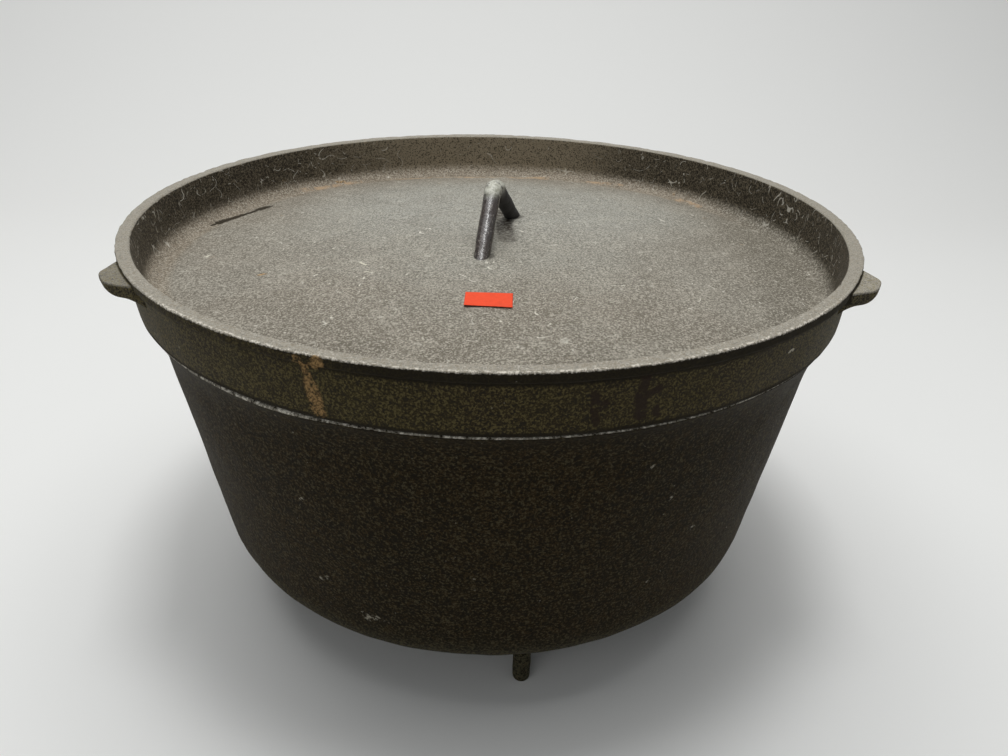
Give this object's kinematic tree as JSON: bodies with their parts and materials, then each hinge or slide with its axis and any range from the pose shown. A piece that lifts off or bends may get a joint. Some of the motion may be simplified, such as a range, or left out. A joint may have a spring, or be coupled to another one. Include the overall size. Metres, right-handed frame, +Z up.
{
  "type": "dutch oven",
  "caption": "Old cast iron camp dutch oven on peg feet, with a flanged ember-holding lid, a bent bar lid handle, small solid lugs and a bare orange price label.",
  "frame": {"origin": "on the pot's axis, level with the tips of the feet", "axes": "+Z up along the pot's axis, -Y to the front, +X to the right as seen from the front"},
  "size_m": [0.336, 0.344, 0.2035],
  "materials": {
    "pot_iron": "old seasoned cast iron, purplish black, grainy, with a dull sheen",
    "lid_iron": "old seasoned cast iron, brown black, coarse, worn grey on its edges",
    "bar_iron": "wrought bar, glossy brown black with pits, worn grey at the top of the bend",
    "label": "bare orange paper sticker, matt"
  },
  "bodies": {
    "pot": {"pot": "pot_iron", "front_foot": "pot_iron", "left_foot": "pot_iron", "right_foot": "pot_iron"},
    "lid": {"lid": "lid_iron", "lid_handle": "bar_iron", "price_label": "label"}
  },
  "joints": [
    {"name": "lid_lift", "type": "slide", "parent": "pot", "child": "lid", "axis": [0, 0, 1], "range_m": [0, 0.25]}
  ]
}
